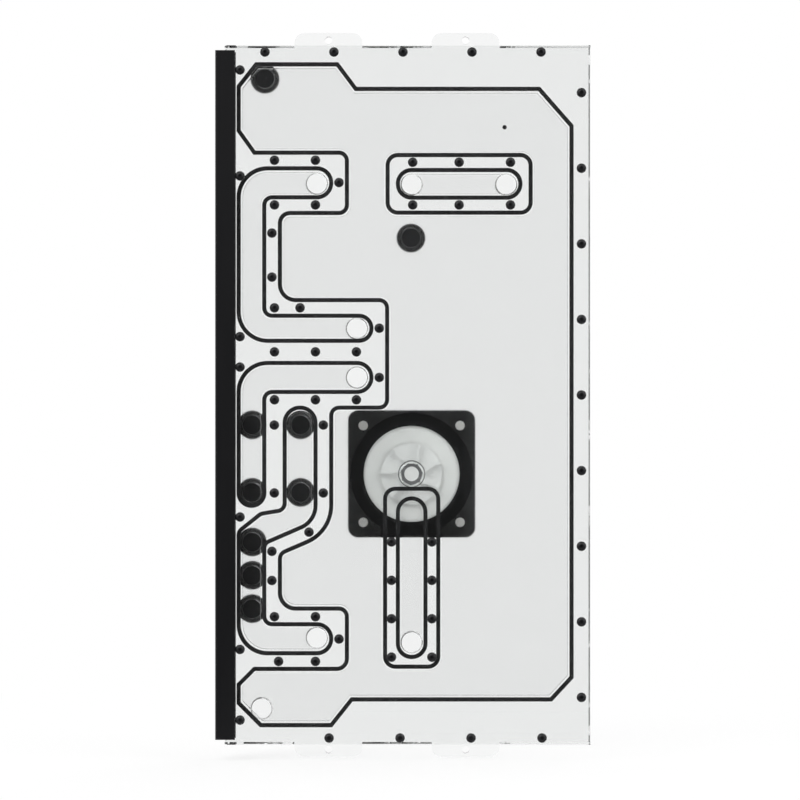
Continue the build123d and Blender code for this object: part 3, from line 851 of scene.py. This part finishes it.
# %% Outline of a plug
plug_boxes = solids_of("port_plugs")
plug_low, plug_high = plug_boxes[0]
plug_radius = (plug_high.x - plug_low.x) / 2
plug_length = plug_high.y - plug_low.y
plug_flange = 3.6 * MM
plug_key = 2.9 * MM
plug_key_depth = 3.4 * MM
crest, valley = 6.5 * MM, 5.75 * MM
plug_outline = [
    (0, -plug_key_depth),
    (plug_key - 0.3 * MM, -plug_key_depth),
    (plug_key, 0.3 * MM - plug_key_depth),
    (plug_key, -0.15 * MM),
    (plug_key + 0.2 * MM, 0),
    (plug_radius - 0.5 * MM, 0),
    (plug_radius - 0.15 * MM, -0.15 * MM),
    (plug_radius, -0.5 * MM),
    (plug_radius, 0.2 * MM - plug_flange),
    (plug_radius - 0.2 * MM, -plug_flange),
    (valley, -plug_flange),
]
ridge = -plug_flange - 1.0 * MM
while ridge > PIPE_THREAD_PITCH - plug_length:
    for radius, share in ((valley, 0), (crest, 0.4), (crest, 0.5), (valley, 0.9)):
        plug_outline.append((radius, ridge - share * PIPE_THREAD_PITCH))
    ridge -= PIPE_THREAD_PITCH
plug_outline += [(valley - 0.2 * MM, -plug_length), (0, -plug_length)]
print("plug", round(plug_length / MM, 2), "mm long, with", len(plug_outline), "points in its outline")

# %% [markdown]
# The plugs are finished like the screws, in black plating with the ridges of the thread behind the flange.

# %% Plugs
plug = turned_part(plug_outline, 36, plug_key + 0.21 * MM)
finished(
    "port_plug_set",
    copies(plug, centres(plug_boxes, plug_high.y)),
    "port_plugs",
    finishes["black_plated"],
)

# %% [markdown]
# The ring under each plug is a rubber cord, squeezed between the flange and the block. A torus would be too
# round, so a circle is flattened first and then turned.

# %% Plug rings
ring_boxes = solids_of("plug_seals")
ring_low, ring_high = ring_boxes[0]
ring_outer = (ring_high.x - ring_low.x) / 2
ring_height = (ring_high.y - ring_low.y) / 2
cord_radius = 0.88 * MM
ring_gap = 0.02 * MM
ring = bmesh.new()
bmesh.ops.create_circle(ring, segments=14, radius=cord_radius)
bmesh.ops.scale(ring, verts=ring.verts, vec=(1, ring_height / cord_radius, 1))
bmesh.ops.translate(ring, verts=ring.verts, vec=(ring_outer - cord_radius - ring_gap, 0, 0))
spin_about_y(ring, ring.verts[:] + ring.edges[:], 36)
close_shell(ring)
print("ring", round(ring_outer / MM, 2), "mm radius,", round(2 * ring_height / MM, 2), "mm high")
finished(
    "plug_ring_set",
    copies(ring, centres(ring_boxes, (ring_low.y + ring_high.y) / 2)),
    "plug_seals",
    smooth=80,
)

# %% [markdown]
# ## Light strip
#
# Each light on the strip is a small white body with a yellow pool of phosphor let into its face. The body is a
# cube with broken edges, and its face is inset and pushed in, which gives the pool its own face and finish.

# %% Lights of the strip
LIGHT_BREAK = 0.15 * MM
LIGHT_RIM = 0.5 * MM
SMALLEST_WINDOW = 1e-6
phosphor = material(
    "phosphor",
    {"Coat Weight": 0.6},
    mottled((0.8, 0.56, 0.12, 1), (0.9, 0.7, 0.22, 1), 0.3, 0.1, 1500.0, 0.01 * MM),
)
lights = bmesh.new()
for low, high in solids_of("light_strip_leds"):
    place = Matrix.Translation((low + high) / 2) @ Matrix.Diagonal((*(high - low), 1))
    cube = bmesh.ops.create_cube(lights, size=1.0, matrix=place)["verts"]
    edges = list({edge for vertex in cube for edge in vertex.link_edges})
    bmesh.ops.bevel(
        lights, geom=edges, offset=LIGHT_BREAK, segments=1, profile=0.5, affect="EDGES", material=-1
    )
lights.normal_update()
windows = [f for f in lights.faces if f.normal.x > 0.99 and f.calc_area() > SMALLEST_WINDOW]
for window in windows:
    bmesh.ops.inset_individual(lights, faces=[window], thickness=LIGHT_RIM, depth=-LIGHT_BREAK)
    window.material_index = 1
strip = finished("light_set", lights, "light_strip_leds")
strip.data.materials.append(phosphor)
print("lights:", len(windows))

# %% [markdown]
# ## The studio
#
# The plate stands over a pale floor in an even white room. Seen directly, through the acrylic or in a
# reflection, floor and room are plain white. The floor keeps just enough of its own shade near the plate for a
# soft shadow. In front, where the camera stands between the soft lights, a real studio is dark, and a shiny
# face that looks straight there mirrors that. Without it the dark parts under the acrylic would look milky.

# %% Rays that show the white room
WHITE = (1, 1, 1, 1)
FRONT_OF_ROOM = 0.05


def rays(tree):
    """Two wires: one for rays that the eye follows, and one for those that a shiny face has mirrored."""
    path = tree.nodes.new("ShaderNodeLightPath")
    seen = Wire(tree, path.outputs["Is Camera Ray"])
    for other in ("Is Glossy Ray", "Is Transmission Ray"):
        seen = seen.at_least(Wire(tree, path.outputs[other]))
    return seen, Wire(tree, path.outputs["Glossy Depth"]) > 0.5


def front_share(value, full, none):
    """Falls softly from 1 to 0 as a value goes from full to none."""
    return value.node(
        "ShaderNodeMapRange",
        {"interpolation_type": "SMOOTHSTEP"},
        {"Value": value, "From Min": full, "From Max": none, "To Min": 1.0, "To Max": 0.0},
    )


print("front of the room at", FRONT_OF_ROOM, "of white")

# %% [markdown]
# The floor is one large square, a hair below the lowest edge of the plate, so that nothing is cut by it.

# %% Floor
FLOOR_DROP = 0.5 * MM
SHADOW_REACH = 0.6
SHADOW_DEPTH = 0.3
floor_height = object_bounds()[0][2] - FLOOR_DROP
floor_mesh = bpy.data.meshes.new("floor")
grid = bmesh.new()
bmesh.ops.create_grid(
    grid, x_segments=1, y_segments=1, size=6, matrix=Matrix.Translation((0, 0, floor_height))
)
grid.to_mesh(floor_mesh)
grid.free()
floor = bpy.data.objects.new("floor", floor_mesh)
bpy.context.scene.collection.objects.link(floor)
print("floor at", round(floor_height, 4))

# %% [markdown]
# Its finish mixes three shaders by the kind of ray: plain matt for light that falls on it, white for what is
# seen, and the dark front for what a shiny face mirrors from there. Near the plate some of the matt shows
# through the white, and with it the shadow.

# %% Finish of the floor
FRONT_DARK, FRONT_PLAIN = -0.25, 0.1
floor_finish = bpy.data.materials.new("floor_finish")
floor_finish.use_nodes = True
tree = floor_finish.node_tree
tree.nodes.clear()
seen, mirrored = rays(tree)
across, ahead, up = Wire(tree, tree.nodes.new("ShaderNodeTexCoord").outputs["Object"]).axes()
nearness = 1 - (across * across + ahead * ahead).root() * (1 / SHADOW_REACH)
shade = SHADOW_DEPTH * nearness.at_least(0.0)
own = seen.node("ShaderNodeBsdfDiffuse", None, {"Color": (0.86, 0.86, 0.86, 1)})
white = seen.node("ShaderNodeEmission", None, {"Color": WHITE, "Strength": 1.0})
front = seen.node("ShaderNodeEmission", None, {"Color": WHITE, "Strength": FRONT_OF_ROOM})
plain = seen.node("ShaderNodeMixShader", None, {0: seen * (1 - shade), 1: own, 2: white})
in_front = front_share(ahead, FRONT_DARK, FRONT_PLAIN)
mixed = seen.node("ShaderNodeMixShader", None, {0: mirrored * in_front, 1: plain, 2: front})
end = tree.nodes.new("ShaderNodeOutputMaterial")
tree.links.new(mixed.socket, end.inputs["Surface"])
floor_mesh.materials.append(floor_finish)
floor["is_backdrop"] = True
print("floor nodes:", len(tree.nodes))

# %% [markdown]
# The room round the floor works in the same way. Its direction, not its place, says where the front is, and
# it lights the plate a little less than it shows.

# %% World
LIT, SHOWN = 0.8, 1.0
AHEAD_DARK, AHEAD_PLAIN = -0.96, -0.85
world = bpy.data.worlds.new("studio")
bpy.context.scene.world = world
world.use_nodes = True
tree = world.node_tree
tree.nodes.clear()
seen, mirrored = rays(tree)
ahead = Wire(tree, tree.nodes.new("ShaderNodeTexCoord").outputs["Generated"]).axes()[1]
lit, shown, dim = (
    seen.node("ShaderNodeBackground", None, {"Color": WHITE, "Strength": strength})
    for strength in (LIT, SHOWN, FRONT_OF_ROOM)
)
room = seen.node("ShaderNodeMixShader", None, {0: seen, 1: lit, 2: shown})
to_front = mirrored.at_least(1 - seen) * front_share(ahead, AHEAD_DARK, AHEAD_PLAIN)
mixed = seen.node("ShaderNodeMixShader", None, {0: to_front, 1: room, 2: dim})
end = tree.nodes.new("ShaderNodeOutputWorld")
tree.links.new(mixed.socket, end.inputs["Surface"])
print("world nodes:", len(tree.nodes))

# %% [markdown]
# ## Light and camera
#
# Broad soft lights model the edges: one above on the left, a weaker one on the right and one behind. A small
# lamp would draw hard shadows of the seals on the block's floor.

# %% Lights
for name, place, size, power in (
    ("key", (-1.2, -1.6, 1.5), 1.6, 26.0),
    ("fill", (1.6, -1.2, 0.7), 1.8, 10.0),
    ("rear", (0.6, 1.8, 1.2), 1.6, 14.0),
):
    data = bpy.data.lights.new(name, "AREA")
    data.shape, data.size, data.energy = "DISK", size, power
    lamp = bpy.data.objects.new(name, data)
    lamp.location = place
    lamp.rotation_euler = (-Vector(place)).to_track_quat("-Z", "Y").to_euler()
    bpy.context.scene.collection.objects.link(lamp)
print("lamps:", len(bpy.data.lights))

# %% [markdown]
# The camera is square to the front with a long lens, as in the photograph, so nearly no sides show. Its
# distance follows from the lens and from how much of the front is to be in the frame.

# %% Camera
FRAME_WIDTH = 0.4688
FRAME_MIDDLE = (0.00176, -0.00293)
LENS, SENSOR = 200.0, 36.0
camera_data = bpy.data.cameras.new("camera")
camera_data.lens, camera_data.sensor_width = LENS, SENSOR
camera = bpy.data.objects.new("camera", camera_data)
camera.location = (FRAME_MIDDLE[0], cover_low.y - FRAME_WIDTH * LENS / SENSOR, FRAME_MIDDLE[1])
camera.rotation_euler = (pi / 2, 0, 0)
bpy.context.scene.collection.objects.link(camera)
bpy.context.scene.camera = camera
bpy.context.scene.view_settings.view_transform = "Standard"
print("camera at", [round(v, 4) for v in camera.location])

# %% [markdown]
# ## Sizes
#
# The finished model has to stay within the solid parts' box, so both boxes are written side by side.

# %% Write both boxes
dressed_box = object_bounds()
for corner, before, after in zip(("low", "high"), cad_box, dressed_box):
    print(corner, [round(v, 5) for v in before], [round(v, 5) for v in after])

# %% [markdown]
